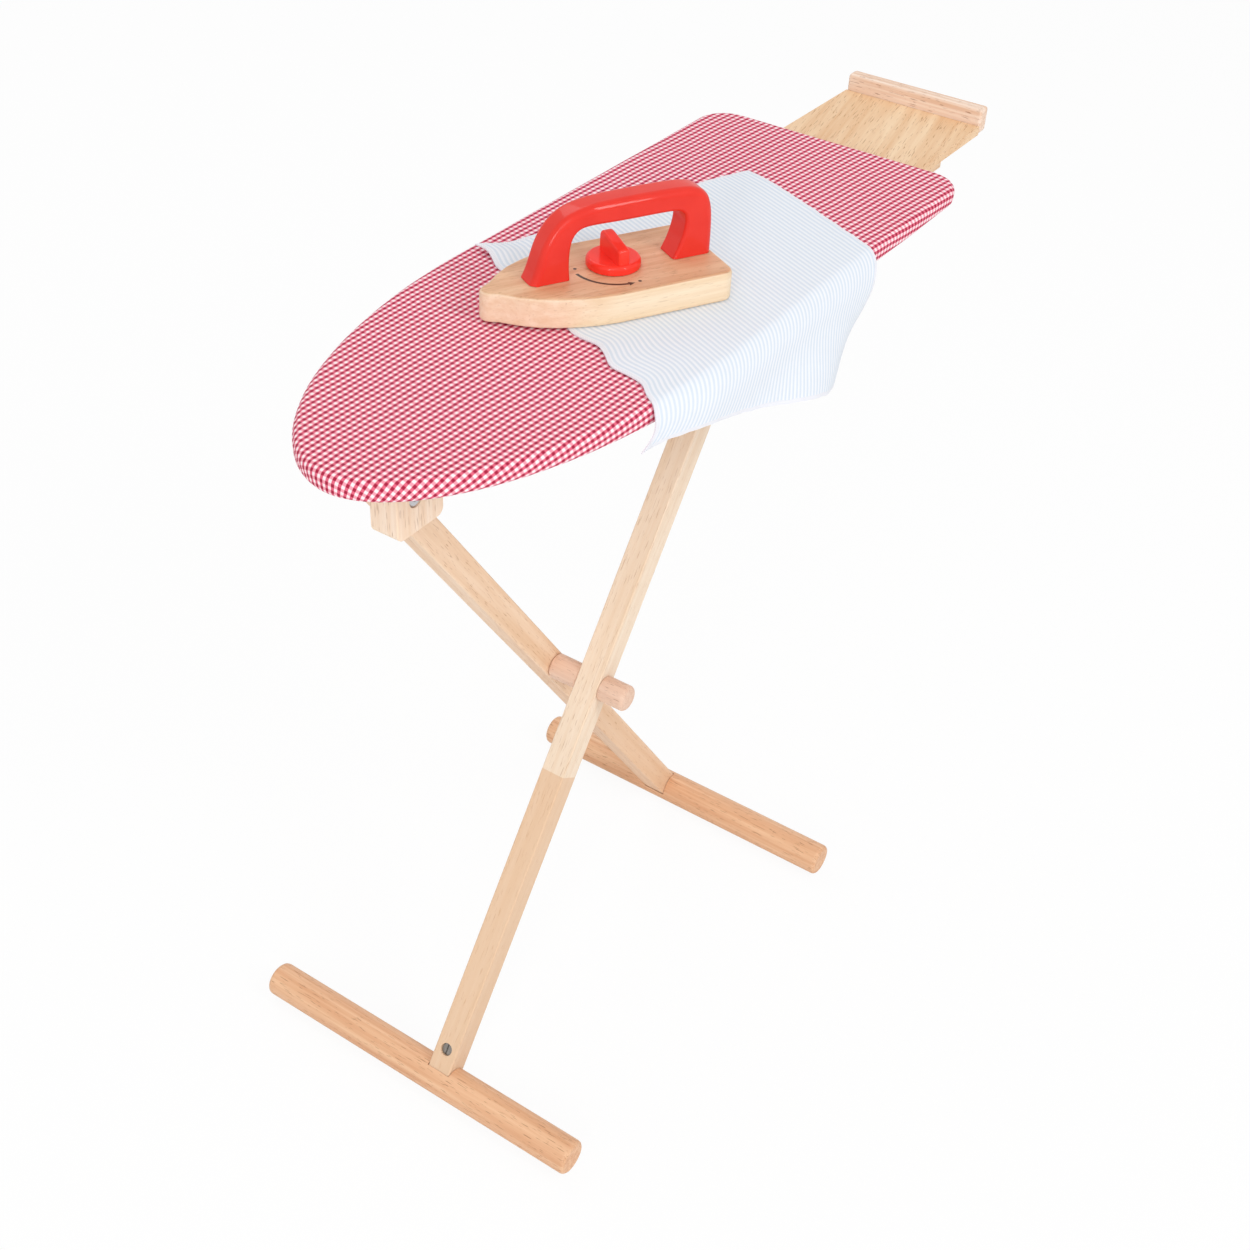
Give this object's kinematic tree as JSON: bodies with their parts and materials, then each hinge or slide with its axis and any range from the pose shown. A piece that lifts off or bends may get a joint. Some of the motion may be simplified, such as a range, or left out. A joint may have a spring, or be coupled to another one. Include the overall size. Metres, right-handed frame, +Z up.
{
  "type": "toy ironing board",
  "caption": "Child's wooden ironing board on crossed folding legs with dowel feet, gingham cover, end tray with lip, loose striped cloth and a toy iron with a red handle and dial.",
  "frame": {"origin": "on the floor, under the middle of the overall length and width, feet standing on z = 0", "axes": "+X along the board from its rounded nose towards the tray, +Y to the far side, away from the loose cloth's hanging edge, +Z up"},
  "size_m": [0.7176, 0.285, 0.6429],
  "materials": {
    "gingham": "woven red and white cotton gingham",
    "felt": "soft padding",
    "panel": "raw board",
    "beech": "sanded, clear matt",
    "pale_wood": "sanded, clear satin",
    "foot_wood": "sanded, clear satin",
    "knob_wood": "sanded, clear matt",
    "lip_wood": "sanded, clear satin",
    "steel": "zinc plated",
    "brass": "plain",
    "red_lacquer": "glossy red lacquer on wood",
    "striped_cloth": "fine pale blue and white stripes with a white overlocked edge"
  },
  "bodies": {
    "board": {"board_core": "panel", "foam_pad": "felt", "gingham_cover": "gingham", "elastic_hem": "gingham", "tray_plate": "pale_wood", "tray_lip": "lip_wood", "tray_screw_near_1": "steel", "tray_screw_near_2": "steel", "tray_screw_far_1": "steel", "tray_screw_far_2": "steel", "nose_block": "beech", "block_screw_front": "steel", "block_screw_rear": "steel", "nose_bolt": "steel", "nose_inner_washer": "steel", "nose_outer_washer": "steel", "nose_nut": "steel", "leg_guide": "beech", "guide_screw_1": "steel", "guide_screw_2": "steel", "guide_screw_3": "steel", "striped_cloth": "striped_cloth"},
    "far_leg_frame": {"far_leg": "pale_wood", "far_foot": "foot_wood", "far_barrel_nut": "steel", "far_foot_bolt": "steel", "crossing_spacer": "beech"},
    "near_leg_frame": {"near_leg": "pale_wood", "near_foot": "foot_wood", "near_barrel_nut": "steel", "near_foot_bolt": "steel", "crossing_bolt": "steel", "crossing_washer": "steel"},
    "knob": {"clamp_knob": "knob_wood", "knob_insert": "brass"},
    "iron": {"iron_base": "pale_wood", "iron_handle": "red_lacquer", "iron_screw_front": "steel", "iron_screw_rear": "steel"},
    "dial": {"iron_dial": "red_lacquer"}
  },
  "joints": [
    {"name": "leg_fold", "type": "hinge", "parent": "board", "child": "far_leg_frame", "pos_m": [-0.2948, 0, 0.52816], "axis": [0, -1, 0], "range_deg": [0, 51]},
    {"name": "leg_scissor", "type": "hinge", "parent": "far_leg_frame", "child": "near_leg_frame", "pos_m": [-0.11936, 0, 0.27696], "axis": [0, 1, 0], "range_deg": [0, 102]},
    {"name": "knob_turn", "type": "hinge", "parent": "near_leg_frame", "child": "knob", "pos_m": [-0.11936, -0.0421, 0.27696], "axis": [0, -1, 0], "range_deg": [0, 360]},
    {"name": "iron_lift", "type": "slide", "parent": "board", "child": "iron", "axis": [0, 0, 1], "range_m": [0, 0.15]},
    {"name": "dial_turn", "type": "hinge", "parent": "iron", "child": "dial", "pos_m": [-0.09303, -0.00622, 0.59536], "axis": [0, 0, 1], "range_deg": [-100, 0]}
  ],
  "couplings": [
    {"joint": "leg_scissor", "follows": "leg_fold", "ratio": 2}
  ]
}
